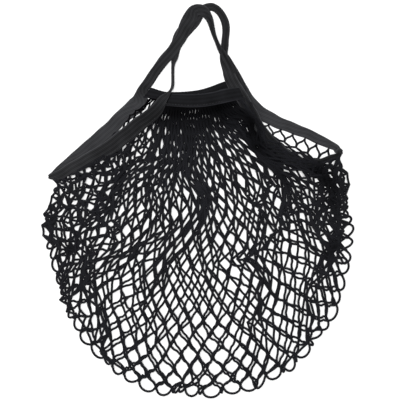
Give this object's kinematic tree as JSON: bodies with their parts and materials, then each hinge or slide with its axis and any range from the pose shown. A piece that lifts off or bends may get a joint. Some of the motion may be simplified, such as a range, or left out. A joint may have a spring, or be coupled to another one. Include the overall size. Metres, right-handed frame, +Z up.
{
  "type": "mesh shopping bag",
  "caption": "Empty net shopping bag lying flat: a knitted diamond-mesh pouch gathered on short mouth bands, with a binding tape that edges its side slits and forms the carrying handles.",
  "frame": {"origin": "middle of the bag's bounding box, on the surface it lies on", "axes": "+X across the bag, +Y from its bottom to its handles, +Z up from the surface it lies on to its front layer"},
  "size_m": [0.3562, 0.4542, 0.0141],
  "materials": {
    "net_cord": "matte knitted cotton cord",
    "tape": "matte woven cotton tape",
    "band": "matte woven cotton tape"
  },
  "bodies": {
    "root": {"net": "net_cord", "tape": "tape", "band_front": "band", "band_back": "band"}
  },
  "joints": []
}
